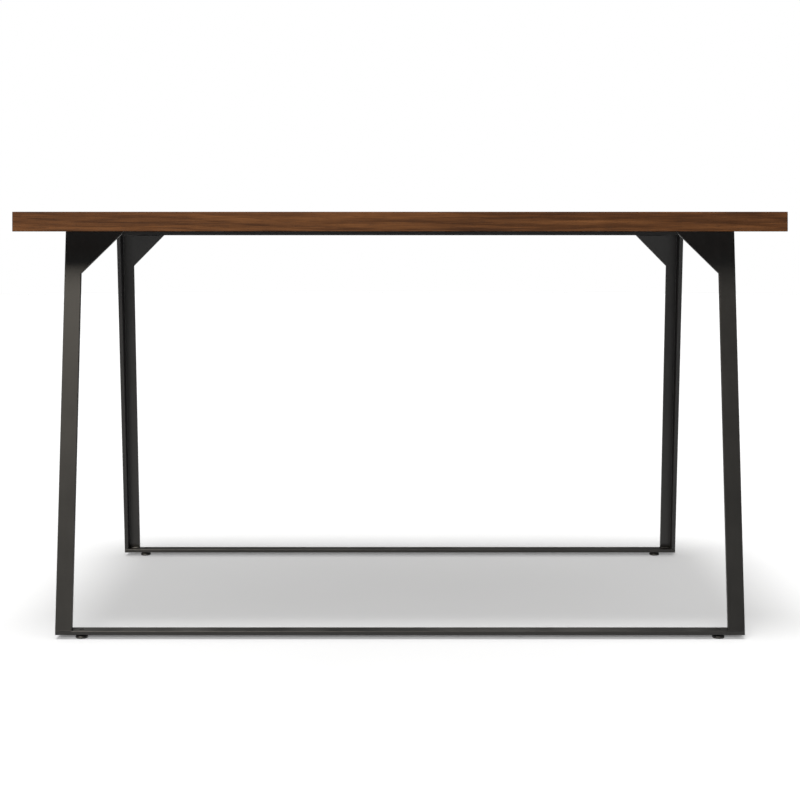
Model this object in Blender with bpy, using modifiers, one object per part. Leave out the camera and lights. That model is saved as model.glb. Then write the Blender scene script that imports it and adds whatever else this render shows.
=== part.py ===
"""Butcher block table: a top glued up from full-length staves, on two splayed steel frames.

Each frame is a closed rectangle of steel plate. Two tapered angle legs stand on a flat bottom bar, and a
flat top bar with two corner gussets joins them under the wood. Countersunk screws go up through the top
bars into threaded inserts, and four levelling feet screw into the bottom bars.

+X runs along the table, -Y is its front, +Z is up, and the origin is on the floor under its centre.
Sizes are in metres. Parts that touch keep a gap of 0.3 mm.
"""

import math

import bmesh
import bpy
from mathutils import Matrix

TABLE = "butcher_block_table"
GAP = 0.0003

# The top
LENGTH = 1.3716
DEPTH = 0.762
HEIGHT = 0.762
TOP_THICKNESS = 0.035
STAVES = 15
WOOD_ARRIS = 0.001

# The frames: half sizes from the table's centre, to the outer faces
BAR_PLATE = 0.007
LEG_PLATE = 0.008
PLATE_ARRIS = 0.0007
FRAME_HALF_LENGTH = 0.6149
SPREAD_AT_FLOOR = 0.359
SPREAD_AT_TOP = 0.272
FLOOR_GAP = 0.0075
FACE_FLANGE = 0.030
SIDE_FLANGE_LOW = 0.0277
SIDE_FLANGE_HIGH = 0.041
BOTTOM_BAR_DEPTH = 0.0278
GUSSET_REACH = 0.0772

# The fasteners between frame and top
SCREW_SPOTS = (-0.54, -0.27, 0.0, 0.27, 0.54)
SCREW_RADIUS = 0.0029
SCREW_LENGTH = 0.020
SCREW_HEAD_RADIUS = 0.0058
SCREW_HEAD_RIM = 0.0004
SOCKET_ACROSS_FLATS = 0.004
SOCKET_DEPTH = 0.0024
INSERT_BORE_RADIUS = 0.0033
INSERT_RADIUS = 0.0049
INSERT_FLANGE_RADIUS = 0.0064
INSERT_FLANGE = 0.0012
INSERT_LENGTH = 0.013
POCKET_DEPTH = 0.016

# The levelling feet
FOOT_X = 0.570
PAD_RADIUS = 0.011
PAD_HEIGHT = 0.0046
PAD_FLOOR = 0.0012
STUD_RADIUS = 0.004
STUD_HEAD_RADIUS = 0.006
STUD_HEAD = 0.0015
COLLAR_ACROSS_FLATS = 0.010

# Heights that follow
UNDERSIDE = HEIGHT - TOP_THICKNESS
BAR_TOP = FLOOR_GAP + BAR_PLATE
TOP_BAR_TOP = UNDERSIDE - GAP
TOP_BAR_BOTTOM = TOP_BAR_TOP - BAR_PLATE
LEAN = (SPREAD_AT_FLOOR - SPREAD_AT_TOP) / (UNDERSIDE - BAR_TOP)
FACE_DEPTH = LEG_PLATE * math.sqrt(1 + LEAN**2)
BOTTOM_BAR_Y = -SPREAD_AT_FLOOR + BOTTOM_BAR_DEPTH / 2
TOP_BAR_BACK = -SPREAD_AT_TOP + SIDE_FLANGE_HIGH


# ---------------------------------------------------------------- scene, materials, objects


def clear_scene():
    for obj in list(bpy.data.objects):
        bpy.data.objects.remove(obj, do_unlink=True)


def new_collection(name):
    collection = bpy.data.collections.new(name)
    bpy.context.scene.collection.children.link(collection)
    return collection


def new_material(name, colour, roughness, metallic=0.0):
    material = bpy.data.materials.new(name)
    material.use_nodes = True
    material.diffuse_color = (*colour, 1.0)
    shader = material.node_tree.nodes["Principled BSDF"]
    shader.inputs["Base Color"].default_value = (*colour, 1.0)
    shader.inputs["Roughness"].default_value = roughness
    shader.inputs["Metallic"].default_value = metallic
    return material


clear_scene()
PARTS = new_collection(TABLE)
CUTTERS = new_collection("cutters")
WOOD = new_material("walnut_stained_wood", (0.16, 0.068, 0.032), 0.45)
COATED_STEEL = new_material("black_powder_coat", (0.022, 0.022, 0.021), 0.35)
BLACK_SCREW = new_material("black_oxide_steel", (0.05, 0.05, 0.052), 0.4, metallic=0.9)
ZINC = new_material("zinc_plated_steel", (0.62, 0.6, 0.55), 0.35, metallic=1.0)
PAD_PLASTIC = new_material("black_nylon", (0.02, 0.02, 0.02), 0.5)


def add_part(name, mesh, material, parent=None, location=(0, 0, 0)):
    """One named sub-part. Copies of a piece share its mesh."""
    if material.name not in mesh.materials:
        mesh.materials.append(material)
    obj = bpy.data.objects.new(name, mesh)
    obj.location = location
    obj.parent = parent
    PARTS.objects.link(obj)
    return obj


def add_cutter(name, mesh, location=(0, 0, 0), parent=None):
    obj = bpy.data.objects.new(name, mesh)
    obj.location = location
    obj.parent = parent
    obj.hide_render = True
    obj.display_type = "WIRE"
    CUTTERS.objects.link(obj)
    return obj


def add_bevel(obj, width, segments=2):
    bevel = obj.modifiers.new("arris", "BEVEL")
    bevel.width = width
    bevel.segments = segments
    bevel.limit_method = "ANGLE"
    bevel.angle_limit = math.radians(40)


def cut(obj, cutter):
    boolean = obj.modifiers.new("cut_" + cutter.name, "BOOLEAN")
    boolean.operation = "DIFFERENCE"
    boolean.solver = "EXACT"
    boolean.object = cutter


def taken_from(obj):
    """The object's evaluated mesh, with the object itself removed."""
    bpy.context.view_layer.update()
    graph = bpy.context.evaluated_depsgraph_get()
    mesh = bpy.data.meshes.new_from_object(obj.evaluated_get(graph))
    mesh.name = obj.name
    bpy.data.objects.remove(obj, do_unlink=True)
    return mesh


# ---------------------------------------------------------------- shapes


def box_mesh(name, low, high):
    """An upright box between two corners."""
    size = [b - a for a, b in zip(low, high)]
    centre = [(a + b) / 2 for a, b in zip(low, high)]
    shape = bmesh.new()
    bmesh.ops.create_cube(shape, size=1.0, matrix=Matrix.Diagonal((*size, 1.0)))
    bmesh.ops.translate(shape, verts=shape.verts, vec=centre)
    mesh = bpy.data.meshes.new(name)
    shape.to_mesh(mesh)
    shape.free()
    return mesh


def prism_mesh(name, radius, low, high, sides):
    """An upright prism or cylinder about Z, from z = low to z = high."""
    shape = bmesh.new()
    bmesh.ops.create_cone(
        shape, cap_ends=True, segments=sides, radius1=radius, radius2=radius, depth=high - low
    )
    bmesh.ops.translate(shape, verts=shape.verts, vec=(0, 0, (low + high) / 2))
    mesh = bpy.data.meshes.new(name)
    shape.to_mesh(mesh)
    shape.free()
    return mesh


def outline_mesh(name, outline, thickness):
    """A flat outline in XY, thickened equally up and down."""
    curve = bpy.data.curves.new(name, "CURVE")
    curve.dimensions = "2D"
    curve.fill_mode = "BOTH"
    curve.extrude = thickness / 2
    spline = curve.splines.new("POLY")
    spline.points.add(len(outline) - 1)
    for point, (x, y) in zip(spline.points, outline):
        point.co = (x, y, 0, 1)
    spline.use_cyclic_u = True
    helper = bpy.data.objects.new(name, curve)
    CUTTERS.objects.link(helper)
    mesh = taken_from(helper)
    shape = bmesh.new()
    shape.from_mesh(mesh)
    bmesh.ops.remove_doubles(shape, verts=shape.verts, dist=1e-6)
    bmesh.ops.recalc_face_normals(shape, faces=shape.faces)
    shape.to_mesh(mesh)
    shape.free()
    return mesh


def turned_mesh(name, profile, closed=False, sides=32):
    """A turned shape about Z. The profile lists (radius, z), and runs down the outer side."""
    mesh = bpy.data.meshes.new(name)
    edges = [(i, i + 1) for i in range(len(profile) - 1)]
    if closed:
        edges.append((len(profile) - 1, 0))
    mesh.from_pydata([(radius, 0, z) for radius, z in profile], edges, [])
    helper = bpy.data.objects.new(name, mesh)
    CUTTERS.objects.link(helper)
    screw = helper.modifiers.new("turn", "SCREW")
    screw.steps = sides
    screw.render_steps = sides
    screw.use_merge_vertices = True
    screw.merge_threshold = 1e-5
    return rounded(taken_from(helper))


def rounded(mesh):
    mesh.shade_smooth()
    mesh.set_sharp_from_angle(angle=math.radians(35))
    return mesh


def boolean_mesh(name, base, tool, operation):
    """The union or the difference of two meshes that share a frame."""
    first = bpy.data.objects.new(name, base)
    second = bpy.data.objects.new(name + "_tool", tool)
    CUTTERS.objects.link(first)
    CUTTERS.objects.link(second)
    boolean = first.modifiers.new("join", "BOOLEAN")
    boolean.operation = operation
    boolean.solver = "EXACT"
    boolean.object = second
    mesh = taken_from(first)
    bpy.data.objects.remove(second, do_unlink=True)
    return rounded(mesh)


def hex_radius(across_flats):
    return across_flats / math.sqrt(3)


# ---------------------------------------------------------------- the top


def eased_stave_mesh(name, low, high, outer_side):
    """A stave with eased ends, and on an outermost one eased long edges and corners too."""
    mesh = box_mesh(name, low, high)
    shape = bmesh.new()
    shape.from_mesh(mesh)
    eased = []
    for edge in shape.edges:
        a, b = (vert.co for vert in edge.verts)
        across = abs(a.y - b.y) > abs(a.x - b.x) + abs(a.z - b.z)
        outside = outer_side and a.y * outer_side > 0 and abs(a.y - b.y) < 1e-6
        at_edge = abs(abs(a.y) - DEPTH / 2) < 1e-6
        if across or (outside and at_edge):
            eased.append(edge)
    bmesh.ops.bevel(
        shape, geom=eased, offset=WOOD_ARRIS, segments=3, profile=0.5, affect="EDGES"
    )
    shape.to_mesh(mesh)
    shape.free()
    return mesh


def add_top(pocket):
    """The staves side by side, with a pocket in the wood for each insert."""
    width = (DEPTH - (STAVES - 1) * GAP) / STAVES
    screw_y = top_bar_centre()
    for k in range(STAVES):
        front = -DEPTH / 2 + k * (width + GAP)
        low = (-LENGTH / 2, front, UNDERSIDE)
        high = (LENGTH / 2, front + width, HEIGHT)
        outer_side = {0: -1, STAVES - 1: 1}.get(k, 0)
        name = f"top_stave_{k + 1:02d}"
        stave = add_part(name, eased_stave_mesh(name, low, high, outer_side), WOOD)
        for y in (screw_y, -screw_y):
            if low[1] < y < high[1]:
                for x in SCREW_SPOTS:
                    cut(stave, add_cutter(f"{name}_pocket_{x:.2f}", pocket, (x, y, UNDERSIDE)))


# ---------------------------------------------------------------- the frames, modelled at the front


def outer_y(z):
    """The outer face of the front frame, which leans out towards the floor."""
    return -SPREAD_AT_TOP - LEAN * (UNDERSIDE - z)


def side_flange_depth(z):
    """The depth of a leg's side flange, face plate included."""
    rise = (z - BAR_TOP) / (UNDERSIDE - BAR_TOP)
    return SIDE_FLANGE_LOW + (SIDE_FLANGE_HIGH - SIDE_FLANGE_LOW) * rise


def top_bar_front():
    return outer_y(TOP_BAR_TOP) + FACE_DEPTH + GAP


def top_bar_centre():
    return (top_bar_front() + TOP_BAR_BACK) / 2


def leg_mesh(name, side):
    """An angle leg: its L section leans with the frame, and its side flange gets deeper upwards."""
    outside = side * FRAME_HALF_LENGTH
    inside = side * (FRAME_HALF_LENGTH - FACE_FLANGE)
    web = side * (FRAME_HALF_LENGTH - LEG_PLATE)
    outline = [
        (outside, 0),
        (inside, 0),
        (inside, FACE_DEPTH),
        (web, FACE_DEPTH),
        (web, 1),
        (outside, 1),
    ]
    low, high = BAR_TOP + GAP, UNDERSIDE - GAP
    mesh = outline_mesh(name, outline, high - low)
    for vert in mesh.vertices:
        z = vert.co.z + (low + high) / 2
        depth = side_flange_depth(z) if vert.co.y > FACE_DEPTH * 2 else vert.co.y
        vert.co = (vert.co.x, outer_y(z) + depth, z)
    return mesh


def gusset_mesh(name, side):
    """A corner plate flush with the leg's face, cut off at 45 degrees."""
    corner = FRAME_HALF_LENGTH - FACE_FLANGE - GAP
    top = UNDERSIDE - GAP
    outline = [
        (side * corner, top),
        (side * (corner - GUSSET_REACH), top),
        (side * corner, top - GUSSET_REACH),
    ]
    mesh = outline_mesh(name, outline, FACE_DEPTH)
    mesh.transform(Matrix.Rotation(math.radians(90), 4, "X"))
    for vert in mesh.vertices:
        vert.co.y += outer_y(vert.co.z) + FACE_DEPTH / 2
    return mesh


def add_plate(name, mesh, frame):
    plate = add_part(name, mesh, COATED_STEEL, frame)
    add_bevel(plate, PLATE_ARRIS)
    return plate


def add_frame(end, turn, meshes):
    """One welded frame with its screws, inserts and feet, turned about Z from the front."""
    frame = bpy.data.objects.new(end + "_frame", None)
    frame.rotation_euler.z = turn
    PARTS.objects.link(frame)
    left_side = -1 if turn == 0 else 1
    for side, hand in ((left_side, "left"), (-left_side, "right")):
        name = f"{end}_{hand}"
        add_plate(name + "_leg", leg_mesh(name + "_leg", side), frame)
        add_plate(name + "_gusset", gusset_mesh(name + "_gusset", side), frame)
        add_foot(name, side, frame, meshes)
    add_bottom_bar(end + "_bottom_bar", frame, meshes)
    add_top_bar(end, frame, meshes)


def add_bottom_bar(name, frame, meshes):
    low = (-FRAME_HALF_LENGTH, -SPREAD_AT_FLOOR, FLOOR_GAP)
    high = (FRAME_HALF_LENGTH, -SPREAD_AT_FLOOR + BOTTOM_BAR_DEPTH, BAR_TOP)
    bar = add_plate(name, box_mesh(name, low, high), frame)
    for x in (-FOOT_X, FOOT_X):
        cut(bar, add_cutter(f"{name}_hole_{x:.2f}", meshes["stud_hole"], (x, BOTTOM_BAR_Y, 0), frame))


def add_top_bar(end, frame, meshes):
    """The bar between the legs' side flanges, and what fastens it to the wood."""
    half = FRAME_HALF_LENGTH - LEG_PLATE - GAP
    low = (-half, top_bar_front(), TOP_BAR_BOTTOM)
    high = (half, TOP_BAR_BACK, TOP_BAR_TOP)
    name = end + "_top_bar"
    bar = add_plate(name, box_mesh(name, low, high), frame)
    for k, x in enumerate(SCREW_SPOTS, 1):
        below = (x, top_bar_centre(), TOP_BAR_BOTTOM)
        in_wood = (x, top_bar_centre(), UNDERSIDE)
        cut(bar, add_cutter(f"{name}_hole_{k}", meshes["countersunk_hole"], below, frame))
        add_part(f"{end}_mounting_screw_{k}", meshes["screw"], BLACK_SCREW, frame, below)
        add_part(f"{end}_threaded_insert_{k}", meshes["insert"], ZINC, frame, in_wood)


def add_foot(name, side, frame, meshes):
    """A swivel pad, and its stud, which turns in the bar and is captive in the pad."""
    place = (side * FOOT_X, BOTTOM_BAR_Y, 0)
    add_part(name + "_foot_pad", meshes["pad"], PAD_PLASTIC, frame, place)
    add_part(name + "_foot_stud", meshes["stud"], BLACK_SCREW, frame, place)


# ---------------------------------------------------------------- turned pieces


def screw_mesh():
    """A countersunk screw, head down at z = 0, with a hexagon socket."""
    head_top = SCREW_HEAD_RIM + SCREW_HEAD_RADIUS - SCREW_RADIUS
    tip = 0.0006
    profile = [
        (0, SCREW_LENGTH),
        (SCREW_RADIUS - tip, SCREW_LENGTH),
        (SCREW_RADIUS, SCREW_LENGTH - tip),
        (SCREW_RADIUS, head_top),
        (SCREW_HEAD_RADIUS, SCREW_HEAD_RIM),
        (SCREW_HEAD_RADIUS, 0),
        (0, 0),
    ]
    socket = prism_mesh("socket", hex_radius(SOCKET_ACROSS_FLATS), -0.001, SOCKET_DEPTH, 6)
    return boolean_mesh("screw", turned_mesh("screw_blank", profile, sides=24), socket, "DIFFERENCE")


def countersunk_hole_mesh():
    """The screw's way through the top bar, which its head seats in."""
    cone_offset = GAP * math.sqrt(2)
    mouth = SCREW_HEAD_RADIUS + SCREW_HEAD_RIM + cone_offset
    past = 0.001
    profile = [
        (0, BAR_PLATE + past),
        (INSERT_BORE_RADIUS, BAR_PLATE + past),
        (INSERT_BORE_RADIUS, mouth - INSERT_BORE_RADIUS),
        (mouth + past, -past),
        (0, -past),
    ]
    return turned_mesh("countersunk_hole", profile, sides=24)


def insert_mesh():
    """A flanged threaded insert, sunk just under the face of the wood at z = 0."""
    top = GAP + INSERT_LENGTH
    profile = [
        (INSERT_BORE_RADIUS, top),
        (INSERT_RADIUS, top),
        (INSERT_RADIUS, GAP + INSERT_FLANGE),
        (INSERT_FLANGE_RADIUS, GAP + INSERT_FLANGE),
        (INSERT_FLANGE_RADIUS, GAP),
        (INSERT_BORE_RADIUS, GAP),
    ]
    return turned_mesh("insert", profile, closed=True, sides=24)


def pocket_mesh():
    """The stepped hole in the wood for an insert."""
    past = 0.001
    profile = [
        (0, POCKET_DEPTH),
        (INSERT_RADIUS + GAP, POCKET_DEPTH),
        (INSERT_RADIUS + GAP, 2 * GAP + INSERT_FLANGE),
        (INSERT_FLANGE_RADIUS + GAP, 2 * GAP + INSERT_FLANGE),
        (INSERT_FLANGE_RADIUS + GAP, -past),
        (0, -past),
    ]
    return turned_mesh("pocket", profile, sides=24)


def pad_mesh():
    """A round glide with a cavity that keeps the stud's head captive."""
    cavity = STUD_HEAD_RADIUS + GAP
    throat = STUD_RADIUS + GAP
    ceiling = PAD_FLOOR + STUD_HEAD + 2 * GAP
    profile = [
        (0, PAD_FLOOR),
        (cavity, PAD_FLOOR),
        (cavity, ceiling),
        (throat, ceiling),
        (throat, PAD_HEIGHT),
        (PAD_RADIUS - 0.0022, PAD_HEIGHT),
        (PAD_RADIUS - 0.0006, PAD_HEIGHT - 0.0007),
        (PAD_RADIUS, PAD_HEIGHT - 0.0018),
        (PAD_RADIUS, 0.0007),
        (PAD_RADIUS - 0.0007, 0),
        (0, 0),
    ]
    return turned_mesh("pad", profile, sides=36)


def stud_mesh():
    """A threaded stud: captive head in the pad, hex collar under the bar, shank up through the bar."""
    head_low = PAD_FLOOR + GAP
    top = BAR_TOP - GAP
    tip = 0.0008
    profile = [
        (0, top),
        (STUD_RADIUS - tip, top),
        (STUD_RADIUS, top - tip),
        (STUD_RADIUS, head_low + STUD_HEAD),
        (STUD_HEAD_RADIUS, head_low + STUD_HEAD),
        (STUD_HEAD_RADIUS, head_low),
        (0, head_low),
    ]
    collar = prism_mesh(
        "collar", hex_radius(COLLAR_ACROSS_FLATS), PAD_HEIGHT + GAP, FLOOR_GAP - GAP, 6
    )
    return boolean_mesh("stud", turned_mesh("stud_blank", profile, sides=24), collar, "UNION")


def shared_meshes():
    """The pieces and cutters that repeat."""
    return {
        "screw": screw_mesh(),
        "insert": insert_mesh(),
        "pad": pad_mesh(),
        "stud": stud_mesh(),
        "countersunk_hole": countersunk_hole_mesh(),
        "stud_hole": prism_mesh("stud_hole", STUD_RADIUS + GAP, 0, BAR_TOP + FLOOR_GAP, 24),
    }


MESHES = shared_meshes()
add_top(pocket_mesh())
add_frame("front", 0, MESHES)
add_frame("back", math.pi, MESHES)
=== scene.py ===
"""Looks of the butcher block table: wood, powder coat, hardware, welds, glue lines and studio.

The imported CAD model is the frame, and nothing here moves or resizes it. Sizes are in metres, +X runs
along the table, -Y is its front and +Z is up.
"""

import math
import random
from collections import namedtuple

import bmesh
import bpy
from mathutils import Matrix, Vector


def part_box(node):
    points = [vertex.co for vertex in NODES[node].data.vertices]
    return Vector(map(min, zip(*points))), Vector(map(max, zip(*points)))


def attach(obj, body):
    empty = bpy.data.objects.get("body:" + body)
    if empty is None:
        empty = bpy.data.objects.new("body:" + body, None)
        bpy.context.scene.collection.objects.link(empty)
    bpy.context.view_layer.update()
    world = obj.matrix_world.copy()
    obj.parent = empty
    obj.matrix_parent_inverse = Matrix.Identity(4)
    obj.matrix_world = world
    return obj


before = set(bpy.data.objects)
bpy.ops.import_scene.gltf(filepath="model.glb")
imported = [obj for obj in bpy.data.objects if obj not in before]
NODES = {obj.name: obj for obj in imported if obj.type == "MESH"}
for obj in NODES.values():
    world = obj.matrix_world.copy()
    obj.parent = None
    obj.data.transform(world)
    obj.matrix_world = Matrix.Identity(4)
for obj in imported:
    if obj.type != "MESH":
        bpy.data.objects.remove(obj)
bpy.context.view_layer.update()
BODY = "table"

MM = 0.001
STAVES = sorted(name for name in NODES if name.startswith("top_stave_"))
CORNERS = [(end, hand) for end in ("front", "back") for hand in ("left", "right")]


# ---------------------------------------------------------------- material graphs


class Graph:
    """One material's node tree, built a node at a time. Inputs take numbers, colours or outputs."""

    def __init__(self, name):
        self.material = bpy.data.materials.new(name)
        self.material.use_nodes = True
        self.tree = self.material.node_tree
        self.shader = self.tree.nodes["Principled BSDF"]

    def put(self, socket, value):
        if isinstance(value, bpy.types.NodeSocket):
            self.tree.links.new(value, socket)
        elif socket.type == "RGBA" and len(value) == 3:
            socket.default_value = (*value, 1.0)
        else:
            socket.default_value = value

    def add(self, kind, inputs, **settings):
        node = self.tree.nodes.new("ShaderNode" + kind)
        for name, value in settings.items():
            setattr(node, name, value)
        for socket, value in inputs.items():
            self.put(node.inputs[socket], value)
        return node

    def place(self):
        """The point on the object at rest, in metres."""
        return self.add("TexCoord", {}).outputs["Object"]

    def math(self, operation, a, b=0.0):
        return self.add("Math", {0: a, 1: b}, operation=operation).outputs[0]

    def vector(self, operation, a, b):
        return self.add("VectorMath", {0: a, 1: b}, operation=operation).outputs["Vector"]

    def stretched(self, point, scale, shift=(0, 0, 0)):
        """The point times scale, plus shift. A noise on it has about scale features per metre."""
        inputs = {0: point, 1: scale, 2: shift}
        return self.add("VectorMath", inputs, operation="MULTIPLY_ADD").outputs[0]

    def length(self, point):
        return self.add("VectorMath", {0: point}, operation="LENGTH").outputs["Value"]

    def split(self, point):
        return self.add("SeparateXYZ", {0: point}).outputs

    def noise(self, point, scale=1.0, detail=2.0, roughness=0.5):
        inputs = {"Vector": point, "Scale": scale, "Detail": detail, "Roughness": roughness}
        return self.add("TexNoise", inputs).outputs[0]

    def wander(self, point, detail=1.0):
        """A smooth random vector, each part between about -0.5 and 0.5."""
        noise = self.add("TexNoise", {"Vector": point, "Scale": 1.0, "Detail": detail})
        return self.vector("SUBTRACT", noise.outputs["Color"], (0.5, 0.5, 0.5))

    def cells(self, point, scale):
        return self.add("TexVoronoi", {"Vector": point, "Scale": scale}).outputs[0]

    def remap(self, value, low, high, to_low=0.0, to_high=1.0):
        inputs = {0: value, 1: low, 2: high, 3: to_low, 4: to_high}
        return self.add("MapRange", inputs, clamp=True).outputs[0]

    def ramp(self, value, stops, interpolation="LINEAR"):
        node = self.add("ValToRGB", {0: value})
        ramp = node.color_ramp
        ramp.interpolation = interpolation
        while len(ramp.elements) < len(stops):
            ramp.elements.new(1.0)
        for element, (position, colour) in zip(ramp.elements, stops):
            element.position = position
            grey = isinstance(colour, float)
            element.color = (colour, colour, colour, 1.0) if grey else (*colour, 1.0)
        return node.outputs[0]

    def mix(self, factor, a, b, blend="MIX"):
        """Colours a and b mixed. A colour Mix takes sockets 0, 6 and 7, and its result is 2."""
        sockets = {0: factor, 6: a, 7: b}
        return self.add("Mix", sockets, data_type="RGBA", blend_type=blend).outputs[2]

    def darken(self, where, colour, tone):
        """The colour, times tone where the mask is 1."""
        return self.mix(where, colour, self.mix(1.0, colour, (tone,) * 3, "MULTIPLY"))

    def total(self, *terms):
        """The sum of weight times (value - 0.5) over the terms, added to 0.5."""
        result = 0.5
        for value, weight in terms:
            inputs = {0: value, 1: weight, 2: -weight / 2}
            centred = self.add("Math", inputs, operation="MULTIPLY_ADD").outputs[0]
            result = self.math("ADD", centred, result)
        return result

    def bump(self, height, distance, strength):
        inputs = {"Height": height, "Distance": distance, "Strength": strength}
        return self.add("Bump", inputs).outputs[0]

    def finish(self, **inputs):
        """Sets the shader's inputs, with _ for a space in a name."""
        for name, value in inputs.items():
            self.put(self.shader.inputs[name.replace("_", " ")], value)
        return self.material


# ---------------------------------------------------------------- wood

Grain = namedtuple("Grain", "pith slope shift ring tone warmth")
# pith: (y, z) of the tree's centre from the stave's own
# slope: the pith's drift per metre along the stave, in y and z
# shift: where in the noise fields the stave is cut from
# ring: growth ring width
# tone: brightness of the colour
# warmth: towards red-brown above 1, towards grey-brown below

WOOD_DARK = (0.029, 0.0105, 0.0033)
WOOD_DEEP = (0.046, 0.0172, 0.0053)
WOOD_MID = (0.065, 0.0247, 0.0076)
WOOD_LIGHT = (0.087, 0.0342, 0.0108)
WOOD_PALE = (0.118, 0.0480, 0.0157)
WOOD_SHADES = [
    (0.10, WOOD_DARK),
    (0.34, WOOD_DEEP),
    (0.52, WOOD_MID),
    (0.72, WOOD_LIGHT),
    (0.95, WOOD_PALE),
]
# one growth ring, from pale earlywood to dark latewood
RING_PROFILE = [(0.0, 0.45), (0.10, 0.22), (0.45, 0.30), (0.80, 0.72), (0.93, 1.0), (1.0, 0.45)]
END_GRAIN_TONE = 0.62
# how dark the painted shade along the wood's arrises is
ARRIS_SHADE_TONE = 0.30
JOINT_TONE = 0.30
STAIN_CLEAR, STAIN_FULL = 1.1 * MM, 0.2 * MM  # how far from a glued face the stain starts and is full
STAVE_TONES = (0.66, 0.80, 0.92, 1.02, 1.14, 1.30)
FRONT_GRAIN = Grain((0.066, 0.034), (0.008, 0.022), (3.1, 1.7, 8.2), 3.6 * MM, 0.89, 1.0)


def tinted(colour, tone, warmth):
    red, green, blue = colour
    return (red * tone * warmth**0.5, green * tone, blue * tone / warmth)


def grain_of(index, rng):
    """The grain of one stave: where it came from in the log, and its shade."""
    around = rng.uniform(0, 2 * math.pi)
    out = rng.uniform(0.018, 0.085)
    pith = (out * math.cos(around), out * math.sin(around))
    slope = (rng.uniform(-0.02, 0.02), rng.uniform(-0.02, 0.02))
    shift = tuple(rng.uniform(0, 40) for _ in range(3))
    ring = rng.uniform(3.4, 6.5) * MM
    tone = rng.choice(STAVE_TONES) * rng.uniform(0.96, 1.04)
    grain = Grain(pith, slope, shift, ring, tone, rng.uniform(0.9, 1.12))
    return FRONT_GRAIN if index == 0 else grain


def wood(name, grain, joints):
    """Satin oiled walnut-brown wood, a solid pattern, so that faces, ends and arrises agree.

    joints says whether the stave has a neighbour in front and behind, where glue has darkened its edge.
    """
    low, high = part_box(name)
    g = Graph("wood_" + name)
    local = g.vector("SUBTRACT", g.place(), (low + high) / 2)
    x = g.split(local)[0]
    seed = Vector(grain.shift)

    # growth rings about a pith that drifts along the stave
    sideways, upward = (g.math("MULTIPLY", x, slope) for slope in grain.slope)
    drift = g.add("CombineXYZ", {1: sideways, 2: upward}).outputs[0]
    sway = g.wander(g.stretched(local, (1.6, 3.0, 3.0), seed))
    sway = g.stretched(sway, (0, 30 * MM, 30 * MM))
    ripple = g.wander(g.stretched(local, (5.0, 30.0, 30.0), seed), detail=2.0)
    ripple = g.stretched(ripple, (0, 5 * MM, 5 * MM))
    section = g.stretched(local, (0, 1, 1), (0, -grain.pith[0], -grain.pith[1]))
    for shift in (drift, sway, ripple):
        section = g.vector("ADD", section, shift)
    radius = g.length(section)
    uneven = g.noise(g.stretched(local, (0.8, 9.0, 9.0), seed * 1.3), detail=1.0)
    rings = g.math("ADD", g.math("DIVIDE", radius, grain.ring), g.math("MULTIPLY", uneven, 2.6))
    latewood = g.ramp(g.math("FRACT", rings), RING_PROFILE, "EASE")

    # streaks, patches, fibres and pores, each much longer than wide, and a faint figure across them
    patches = g.noise(g.stretched(local, (3.2, 15.0, 20.0), seed), detail=2.0)
    streaks = g.noise(g.stretched(local, (5.0, 150.0, 150.0), seed * 0.7), detail=4.0, roughness=0.65)
    threads = g.noise(g.stretched(local, (15.0, 460.0, 460.0), seed * 2.1), detail=2.0, roughness=0.6)
    fibres = g.noise(g.stretched(local, (40.0, 2600.0, 2600.0), seed * 0.3), detail=1.0)
    figure = g.noise(g.stretched(local, (38.0, 16.0, 16.0), seed * 1.9), detail=1.0)
    pits = g.noise(g.stretched(local, (60.0, 1500.0, 1500.0), seed * 3.7), detail=0.0)
    pores = g.remap(pits, 0.30, 0.20)
    light = g.total(
        (latewood, -0.26),
        (patches, 0.45),
        (streaks, 1.25),
        (threads, 0.70),
        (fibres, 0.22),
        (figure, 0.16),
    )
    shades = [(at, tinted(shade, grain.tone, grain.warmth)) for at, shade in WOOD_SHADES]
    colour = g.ramp(light, shades)

    # pores hold dark finish and end grain drinks it; the arrises are darkened with painted shade
    colour = g.mix(g.math("MULTIPLY", pores, 0.55), colour, tinted(WOOD_DARK, 0.45, 1.0))
    normal = g.split(g.add("NewGeometry", {}).outputs["True Normal"])
    end_grain = g.remap(g.math("ABSOLUTE", normal[0]), 0.75, 0.95)
    colour = g.darken(end_grain, colour, END_GRAIN_TONE)
    bent = [g.math("ABSOLUTE", part) for part in normal]
    flatness = g.math("MAXIMUM", g.math("MAXIMUM", bent[0], bent[1]), bent[2])
    # painted shade: darker where the surface turns round an arris
    arris = g.remap(flatness, 0.98, 0.85)
    colour = g.darken(arris, colour, ARRIS_SHADE_TONE)
    half = (high.y - low.y) / 2
    for side, joined in zip((-1, 1), joints):
        if joined:
            across = g.math("MULTIPLY", g.split(local)[1], side)
            stain = g.remap(across, half - STAIN_CLEAR, half - STAIN_FULL)
            colour = g.darken(stain, colour, JOINT_TONE)

    # the finish: satin, closer over dense latewood, rough in the pores and on end grain
    satin = g.total((streaks, -0.12), (threads, 0.16), (latewood, -0.06))
    roughness = g.math("ADD", g.math("MULTIPLY", pores, 0.18), g.math("SUBTRACT", satin, 0.03))
    roughness = g.math("ADD", roughness, g.math("MULTIPLY", end_grain, 0.12))
    height = g.total((fibres, 0.5), (threads, 0.5), (pores, -1.2))
    return g.finish(
        Base_Color=colour,
        Roughness=roughness,
        Normal=g.bump(height, 0.12 * MM, 0.7),
        IOR=1.48,
        Specular_IOR_Level=0.14,
    )


def glue():
    """Dark set glue between the staves."""
    g = Graph("glue")
    mottle = g.noise(g.place(), 260.0, detail=3.0)
    return g.finish(
        Base_Color=g.ramp(mottle, [(0.3, (0.018, 0.008, 0.004)), (0.7, (0.045, 0.020, 0.010))]),
        Roughness=g.remap(mottle, 0.3, 0.7, 0.45, 0.65),
        Normal=g.bump(mottle, 0.1 * MM, 0.5),
    )


# ---------------------------------------------------------------- steel, plastic, zinc


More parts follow.
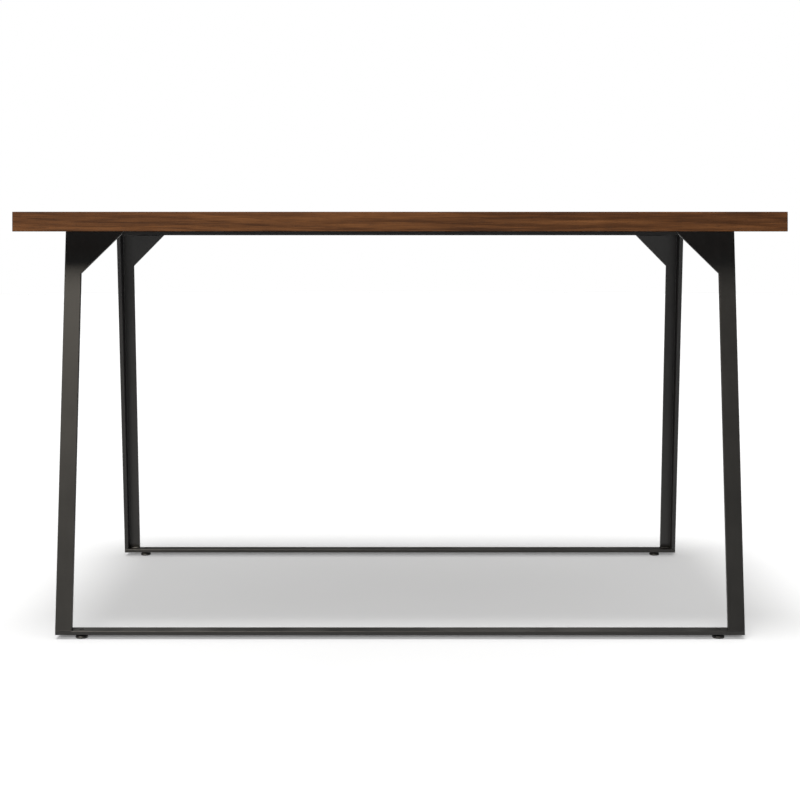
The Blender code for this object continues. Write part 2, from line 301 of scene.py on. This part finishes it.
def powder_coat():
    """Fine-textured black powder coat with orange peel, a little dust on top, and lighter edges that
    are partly rubbed wear and partly a painted highlight.
    """
    g = Graph("powder_coat")
    place = g.place()
    grit = g.noise(place, 1900.0, detail=2.0, roughness=0.6)
    peel = g.noise(place, 420.0, detail=1.0)
    cloud = g.noise(place, 7.0, detail=3.0, roughness=0.55)
    rub = g.noise(g.stretched(place, (70.0, 70.0, 16.0)), detail=4.0, roughness=0.65)
    rounded = g.add("Bevel", {"Radius": 1.2 * MM}, samples=4).outputs[0]
    flat = g.add("NewGeometry", {}).outputs["Normal"]
    facing = g.add("VectorMath", {0: rounded, 1: flat}, operation="DOT_PRODUCT").outputs["Value"]
    # edge mask: rubbed wear, and also a painted highlight along the edges
    edge = g.math("MULTIPLY", g.remap(facing, 0.995, 0.90), g.remap(rub, 0.35, 0.65, 0.35, 1.0))
    up = g.split(flat)[2]
    dust = g.math("MULTIPLY", g.remap(up, 0.6, 1.0), g.remap(cloud, 0.35, 0.7, 0.1, 1.0))
    colour = g.ramp(
        g.total((cloud, 0.8), (grit, 0.5), (rub, 0.3)),
        [(0.2, (0.0024, 0.0024, 0.0023)), (0.8, (0.0048, 0.0047, 0.0044))],
    )
    # lighter colour on the edges, part wear and part painted highlight
    colour = g.mix(g.math("MULTIPLY", edge, 0.40), colour, (0.020, 0.0195, 0.018))
    colour = g.mix(g.math("MULTIPLY", dust, 0.10), colour, (0.20, 0.20, 0.20))
    roughness = g.total((cloud, 0.14), (rub, 0.10), (grit, 0.06))
    roughness = g.math("ADD", g.math("SUBTRACT", roughness, 0.05), g.math("MULTIPLY", dust, 0.10))
    height = g.total((grit, 0.55), (peel, 0.9))
    return g.finish(
        Base_Color=colour,
        Roughness=g.math("SUBTRACT", roughness, g.math("MULTIPLY", edge, 0.05)),
        Normal=g.bump(height, 0.055 * MM, 0.55),
        IOR=1.55,
        Specular_IOR_Level=0.62,
    )


def black_oxide():
    """Oiled black oxide on screws and studs, rubbed to grey here and there."""
    g = Graph("black_oxide")
    place = g.place()
    bloom = g.noise(place, 240.0, detail=4.0, roughness=0.6)
    turned = g.noise(g.stretched(place, (300.0, 300.0, 5200.0)), detail=1.0)
    colour = g.ramp(
        bloom,
        [(0.30, (0.022, 0.021, 0.022)), (0.62, (0.055, 0.053, 0.054)), (0.8, (0.12, 0.115, 0.11))],
    )
    return g.finish(
        Base_Color=colour,
        Metallic=0.85,
        Roughness=g.total((bloom, 0.35), (turned, 0.15)),
        Normal=g.bump(g.total((turned, 0.6), (bloom, 0.6)), 0.03 * MM, 0.5),
    )


def zinc_plate():
    """Bright zinc with a faint spangle."""
    g = Graph("zinc_plate")
    place = g.place()
    spangle = g.cells(place, 700.0)
    haze = g.noise(place, 320.0, detail=3.0)
    colour = g.ramp(
        g.total((spangle, 0.5), (haze, 0.7)),
        [(0.2, (0.46, 0.44, 0.38)), (0.8, (0.70, 0.69, 0.64))],
    )
    return g.finish(
        Base_Color=colour,
        Metallic=1.0,
        Roughness=g.remap(haze, 0.3, 0.7, 0.26, 0.46),
        Normal=g.bump(spangle, 0.02 * MM, 0.5),
    )


def moulded_nylon():
    """Black nylon with a spark-eroded texture, scuffed pale where it meets the floor."""
    g = Graph("moulded_nylon")
    place = g.place()
    texture = g.noise(place, 2600.0, detail=2.0)
    scuff = g.noise(g.stretched(place, (420.0, 60.0, 420.0)), detail=4.0, roughness=0.7)
    low = g.remap(g.split(place)[2], 1.6 * MM, 0.3 * MM)
    worn = g.math("MULTIPLY", low, g.remap(scuff, 0.42, 0.66))
    colour = g.ramp(texture, [(0.3, (0.010, 0.010, 0.010)), (0.7, (0.019, 0.019, 0.019))])
    roughness = g.remap(texture, 0.3, 0.7, 0.40, 0.52)
    return g.finish(
        Base_Color=g.mix(g.math("MULTIPLY", worn, 0.5), colour, (0.10, 0.098, 0.094)),
        Roughness=g.math("ADD", roughness, g.math("MULTIPLY", worn, 0.2)),
        Normal=g.bump(texture, 0.04 * MM, 0.6),
        IOR=1.53,
    )


def dress(node, material):
    """Gives a CAD node its material."""
    slots = NODES[node].data.materials
    slots.clear()
    slots.append(material)


def dress_frame():
    """Gives every CAD node its material, and returns the powder coat."""
    rng = random.Random(11)
    for index, name in enumerate(STAVES):
        joints = (index > 0, index < len(STAVES) - 1)
        dress(name, wood(name, grain_of(index, rng), joints))
    coat = powder_coat()
    oxide = black_oxide()
    finishes = {
        "leg": coat,
        "gusset": coat,
        "bar": coat,
        "screw": oxide,
        "stud": oxide,
        "insert": zinc_plate(),
        "pad": moulded_nylon(),
    }
    for name in sorted(set(NODES) - set(STAVES)):
        kind = next(k for k in finishes if k in name.split("_"))
        dress(name, finishes[kind])
    return coat


# ---------------------------------------------------------------- new pieces

GLUE_BELOW_FACE = 0.25 * MM
GLUE_BELOW_END = 1.2 * MM


def add_piece(name, shape, material):
    """A new mesh piece from a bmesh, riding on the table."""
    bmesh.ops.recalc_face_normals(shape, faces=shape.faces)
    mesh = bpy.data.meshes.new(name)
    shape.to_mesh(mesh)
    shape.free()
    mesh.materials.append(material)
    piece = bpy.data.objects.new(name, mesh)
    bpy.context.scene.collection.objects.link(piece)
    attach(piece, BODY)


def add_tube(shape, rings):
    """A closed solid through rings of points, each ring in the same order."""
    loops = [[shape.verts.new(point) for point in ring] for ring in rings]
    for near, far in zip(loops, loops[1:]):
        for i in range(len(near)):
            k = (i + 1) % len(near)
            shape.faces.new((near[i], near[k], far[k], far[i])).smooth = True
    shape.faces.new(loops[0][::-1])
    shape.faces.new(loops[-1])


def add_glue_lines():
    """A strip of glue in each joint between staves, a hair below every face."""
    shape = bmesh.new()
    for one, two in zip(STAVES, STAVES[1:]):
        low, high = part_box(one)
        near, far = high.y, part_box(two)[0].y
        bottom, top = low.z + GLUE_BELOW_FACE, high.z - GLUE_BELOW_FACE
        rings = []
        for x in (low.x + GLUE_BELOW_END, high.x - GLUE_BELOW_END):
            rings.append([(x, near, bottom), (x, far, bottom), (x, far, top), (x, near, top)])
        add_tube(shape, rings)
    for face in shape.faces:
        face.smooth = False
    add_piece("glue_lines", shape, glue())


# ---------------------------------------------------------------- welds

BEAD_STEP = 0.7 * MM
BEAD_PITCH = 2.4 * MM  # from one ripple of the bead to the next
BEAD_POINTS = 7
BEAD_LAG = 0.9 * MM  # how far a ripple's middle trails behind its ends
BEAD_TIP = 0.35  # size at either end, as a share of the full bead
BEAD_WAVE, BEAD_WOBBLE = 0.09, 0.03  # regular and random change of size along the bead
FILLET_BULGE, FILLET_ROOT = 0.78, -0.12
SEAM_HALF = 1.15 * MM
SEAM_CROWN, SEAM_TOE, SEAM_ROOT = 0.10 * MM, -0.06 * MM, -1.0 * MM
TOP_BAR_FILLET = 4 * MM
TOP_BAR_FILLET_LENGTH = 58 * MM
BAR_FILLET = 2.2 * MM
BAR_FRONT_FILLET = 1.6 * MM
BAR_SEAM_HALF = 1.1 * MM


def face_of(node, direction):
    """A point on the node's largest flat face that looks along direction, and that face's normal."""
    direction = Vector(direction)
    facing = [p for p in NODES[node].data.polygons if p.normal.dot(direction) > 0.97]
    largest = max(facing, key=lambda p: p.area)
    return largest.center.copy(), largest.normal.copy()


def y_on(plane, z):
    """Where a face that only leans in Y stands at a height."""
    point, normal = plane
    return point.y - normal.z * (z - point.z) / normal.y


def add_bead(shape, start, end, toes, crown, root, rng=None):
    """A weld bead from start to end, rippled if it is given an rng.

    toes are the offsets of its two edges from that line, crown bends its face outwards, and root is its
    back in the joint.
    """
    ripple = 1.0 if rng else 0.0
    start, end = Vector(start), Vector(end)
    toes, crown, root = [Vector(t) for t in toes], Vector(crown), Vector(root)
    run = end - start
    steps = max(4, int(run.length / BEAD_STEP))
    along = run.normalized()
    rings = []
    for step in range(steps + 1):
        distance = run.length * step / steps
        from_end = min(distance, run.length - distance) / (2 * BEAD_PITCH)
        swell = min(1.0, BEAD_TIP + (1 - BEAD_TIP) * from_end**0.5)
        wave = BEAD_WAVE * abs(math.sin(math.pi * distance / BEAD_PITCH))
        wobble = rng.uniform(-BEAD_WOBBLE, BEAD_WOBBLE) if rng else 0.0
        size = swell * (1 - ripple * (wave - wobble))
        centre = start + run * (step / steps)
        ring = [centre + root]
        for i in range(BEAD_POINTS):
            t = i / (BEAD_POINTS - 1)
            face = toes[0] * (1 - t) ** 2 + crown * 2 * t * (1 - t) + toes[1] * t**2
            lag = 0.0 if step in (0, steps) else BEAD_LAG * ripple * 4 * t * (1 - t)
            ring.append(centre + face * size - along * lag)
        rings.append(ring)
    add_tube(shape, rings)


def add_corner_welds(end, hand, coat):
    """The welds of one corner: fillets in the inside corners, and seams ground flush on flat faces."""
    rng = random.Random(f"{end} {hand}")
    sx, sy = (-1 if hand == "left" else 1), (-1 if end == "front" else 1)
    name = f"{end}_{hand}"
    leg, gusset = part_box(name + "_leg"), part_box(name + "_gusset")
    bar, top_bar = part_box(end + "_bottom_bar"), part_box(end + "_top_bar")
    outer = face_of(name + "_gusset", (0, sy, 0))
    inner = face_of(name + "_gusset", (0, -sy, 0))
    in_x, out_x = sorted(abs(corner.x) for corner in leg)
    web_x = max(abs(corner.x) for corner in top_bar) + 0.3 * MM
    seam_x = in_x - 0.15 * MM
    bar_top, bar_back = bar[1].z, min(abs(corner.y) for corner in bar)
    hang, hang_back = top_bar[0].z, min(abs(corner.y) for corner in top_bar)

    def at(x, y, z):
        return sx * x, sy * y, z

    def outside(z):
        return abs(y_on(outer, z))

    def inside(z):
        return abs(y_on(inner, z))

    lean = (outside(0.1) - outside(0.6)) / 0.5  # how much further out the faces are a metre lower
    shape = bmesh.new()

    def fillet(start, finish, toe, other):
        toe, other = Vector(at(*toe)), Vector(at(*other))
        crown, root = (toe + other) * FILLET_BULGE, (toe + other) * FILLET_ROOT
        add_bead(shape, at(*start), at(*finish), (toe, other), crown, root, rng)

    def flush(start, finish, along, out):
        along, out = Vector(at(*along)), Vector(at(*out))
        sunk = out * SEAM_TOE
        toes = (along + sunk, sunk - along)
        add_bead(shape, at(*start), at(*finish), toes, out * SEAM_CROWN, out * SEAM_ROOT)

    # the gusset's upright seam, on both its sides
    low, high = gusset[0].z + 0.8 * MM, gusset[1].z - 0.2 * MM
    across = (SEAM_HALF, 0, 0)
    flush((seam_x, outside(low), low), (seam_x, outside(high), high), across, (0, 1, lean))
    high = hang - 5 * MM
    flush((seam_x, inside(low), low), (seam_x, inside(high), high), across, (0, -1, -lean))

    # under the top bar, to the gusset and to the leg's side
    size = TOP_BAR_FILLET
    near = in_x - 4 * MM
    fillet(
        (near, inside(hang), hang),
        (near - TOP_BAR_FILLET_LENGTH, inside(hang), hang),
        (0, lean * size, -size),
        (0, -size - 1.4 * MM, 0),
    )
    fillet(
        (web_x, inside(hang) - 3 * MM, hang),
        (web_x, hang_back + 2 * MM, hang),
        (0, 0, -size),
        (-size - 0.6 * MM, 0, 0),
    )

    # where the leg stands on the bottom bar: behind its face, along its side, and at its inner edge
    size = BAR_FILLET
    front, back = outside(bar_top), inside(bar_top)
    fillet(
        (web_x - 2 * MM, back, bar_top),
        (in_x + 0.6 * MM, back, bar_top),
        (0, -lean * size, size),
        (0, -size, 0),
    )
    fillet(
        (web_x, back - 1 * MM, bar_top),
        (web_x, bar_back + 1.5 * MM, bar_top),
        (0, 0, size),
        (-size, 0, 0),
    )
    size = BAR_FRONT_FILLET
    fillet(
        (in_x, front - 1.2 * MM, bar_top),
        (in_x, back + 1 * MM, bar_top),
        (0, 0, size),
        (-size, 0, 0),
    )

    # the same joint's flush seams, on the front and on the outer side
    seam_z = bar_top + 0.15 * MM
    flush(
        (out_x - 0.7 * MM, front, seam_z),
        (in_x + 0.5 * MM, front, seam_z),
        (0, -lean * MM, BAR_SEAM_HALF),
        (0, 1, 0),
    )
    flush(
        (out_x, front - 0.7 * MM, seam_z),
        (out_x, bar_back + 0.7 * MM, seam_z),
        (0, 0, BAR_SEAM_HALF),
        (1, 0, 0),
    )
    add_piece(name + "_welds", shape, coat)


# ---------------------------------------------------------------- stage

WORLD_COLOUR = (1.0, 0.985, 0.965, 1.0)
# how strong the world is at each Z of the direction, where -1 is straight down and 1 is straight up
WORLD_LEVELS = [(-0.60, 0.0), (-0.45, 1.5), (-0.25, 1.1), (-0.12, 0.0), (0.2, 0.0), (0.5, 0.32)]
KEY_PLACE, KEY_TARGET = (-1.9, -4.1, 3.95), (0.0, -0.3, 0.5)
KEY_WIDTH, KEY_HEIGHT = 2.0, 1.8
KEY_RADIANCE = 34.5
KEY_COLOUR = (1.0, 0.91, 0.78)
SUN_STRENGTH, SUN_SPREAD, SUN_AIM = 4.2, 17.0, (0.05, 0.125, -1.0)
SKY_STRENGTH, SKY_SPREAD, SKY_AIM = 2.5, 110.0, (0.0, 0.05, -1.0)
FLOOR_RADIUS, FLOOR_HEIGHT = 14.0, -0.05 * MM
FLOOR_ALBEDO = 0.30
FRONT_STRENGTH, FRONT_SPREAD, FRONT_AIM = 7.0, 16.0, (0.15, 0.92, -0.39)
FLOOR_GLOW = 0.12
CAMERA_PLACE = (0.0, -3.0805, 0.735)
CAMERA_LENS = 68.72
CAMERA_SENSOR = 36.0
CAMERA_SHIFT_Y = -0.21625


def floor_material():
    """Matt studio floor with the faintest mottle, and a little glow of its own to lift the shadows."""
    g = Graph("studio_floor")
    mottle = g.noise(g.place(), 3.0, detail=4.0)
    return g.finish(
        Base_Color=g.ramp(mottle, [(0.3, FLOOR_ALBEDO), (0.7, FLOOR_ALBEDO * 1.02)]),
        Roughness=g.remap(mottle, 0.3, 0.7, 0.85, 0.95),
        Specular_IOR_Level=0.0,
        Emission_Color=(1.0, 1.0, 1.0),
        Emission_Strength=FLOOR_GLOW,
    )


def add_floor():
    """A wide floor, a hair below the pads. It stays out of reflections, so that black steel is dark."""
    shape = bmesh.new()
    bmesh.ops.create_circle(shape, cap_ends=True, segments=96, radius=FLOOR_RADIUS)
    mesh = bpy.data.meshes.new("floor")
    shape.to_mesh(mesh)
    shape.free()
    mesh.materials.append(floor_material())
    floor = bpy.data.objects.new("floor", mesh)
    floor.location.z = FLOOR_HEIGHT
    bpy.context.scene.collection.objects.link(floor)
    floor.visible_glossy = False
    return floor


def add_world():
    """A pale band well below the horizon, in place of light off the floor, and a dim dome overhead.
    The camera sees plain white instead."""
    world = bpy.data.worlds.new("studio")
    world.use_nodes = True
    nodes, links = world.node_tree.nodes, world.node_tree.links
    light, output = nodes["Background"], nodes["World Output"]
    direction = nodes.new("ShaderNodeTexCoord")
    parts = nodes.new("ShaderNodeSeparateXYZ")
    links.new(direction.outputs["Generated"], parts.inputs[0])
    height = nodes.new("ShaderNodeMapRange")
    height.inputs[1].default_value = -1.0
    links.new(parts.outputs["Z"], height.inputs[0])
    level = nodes.new("ShaderNodeValToRGB")
    while len(level.color_ramp.elements) < len(WORLD_LEVELS):
        level.color_ramp.elements.new(1.0)
    for element, (z, strength) in zip(level.color_ramp.elements, WORLD_LEVELS):
        element.position = (z + 1) / 2
        element.color = (strength, strength, strength, 1.0)
    links.new(height.outputs[0], level.inputs[0])
    light.inputs["Color"].default_value = WORLD_COLOUR
    links.new(level.outputs[0], light.inputs["Strength"])
    backdrop = nodes.new("ShaderNodeBackground")
    backdrop.inputs["Color"].default_value = (1, 1, 1, 1)
    ray = nodes.new("ShaderNodeLightPath")
    either = nodes.new("ShaderNodeMixShader")
    links.new(ray.outputs["Is Camera Ray"], either.inputs[0])
    links.new(light.outputs[0], either.inputs[1])
    links.new(backdrop.outputs[0], either.inputs[2])
    links.new(either.outputs[0], output.inputs["Surface"])
    bpy.context.scene.world = world


def add_key():
    """A soft box: a rectangular light of even radiance, aimed at a point."""
    data = bpy.data.lights.new("key", "AREA")
    data.shape = "RECTANGLE"
    data.size, data.size_y = KEY_WIDTH, KEY_HEIGHT
    data.energy = KEY_RADIANCE * math.pi * KEY_WIDTH * KEY_HEIGHT
    data.color = KEY_COLOUR
    light = bpy.data.objects.new("key", data)
    light.location = KEY_PLACE
    aim = Vector(KEY_TARGET) - Vector(KEY_PLACE)
    light.rotation_euler = aim.to_track_quat("-Z", "Y").to_euler()
    light.visible_camera = False
    bpy.context.scene.collection.objects.link(light)
    return light


def add_far_light(name, strength, spread, aim):
    """An even light from far off. It stays out of reflections."""
    data = bpy.data.lights.new(name, "SUN")
    data.energy = strength
    data.angle = math.radians(spread)
    light = bpy.data.objects.new(name, data)
    light.rotation_euler = Vector(aim).to_track_quat("-Z", "Y").to_euler()
    light.visible_glossy = False
    bpy.context.scene.collection.objects.link(light)
    return light


def listed(name, objects):
    """A collection of these objects, for a light's linking."""
    chosen = bpy.data.collections.new(name)
    for thing in objects:
        chosen.objects.link(thing)
    return chosen


def add_lights(floor):
    """Overhead light that draws the table's shadow, soft sky round it, and a warm key from the front
    left, which is flagged off the floor. A low front light fills the floor instead, and only the bottom
    bars, studs and pads stop it."""
    add_far_light("overhead", SUN_STRENGTH, SUN_SPREAD, SUN_AIM)
    add_far_light("sky", SKY_STRENGTH, SKY_SPREAD, SKY_AIM)
    key = add_key()
    flagged = listed("flagged_off", [floor])
    flagged.collection_objects[0].light_linking.link_state = "EXCLUDE"
    key.light_linking.receiver_collection = flagged
    front = add_far_light("front", FRONT_STRENGTH, FRONT_SPREAD, FRONT_AIM)
    front.light_linking.receiver_collection = listed("filled", [floor])
    kinds = ("bottom_bar", "foot_pad", "foot_stud")
    low = [NODES[name] for name in sorted(NODES) if name.endswith(kinds)]
    front.light_linking.blocker_collection = listed("near_the_floor", low)


def add_camera():
    """A level camera in front of the table, shifted down to frame it."""
    data = bpy.data.cameras.new("camera")
    data.lens, data.sensor_width = CAMERA_LENS, CAMERA_SENSOR
    data.shift_y = CAMERA_SHIFT_Y
    camera = bpy.data.objects.new("camera", data)
    camera.location = CAMERA_PLACE
    camera.rotation_euler = (math.pi / 2, 0, 0)
    bpy.context.scene.collection.objects.link(camera)
    bpy.context.scene.camera = camera


# ---------------------------------------------------------------- the scene

powder = dress_frame()
add_glue_lines()
for end, hand in CORNERS:
    add_corner_welds(end, hand, powder)
studio_floor = add_floor()
add_world()
add_lights(studio_floor)
add_camera()
bpy.context.scene.view_settings.view_transform = "Standard"
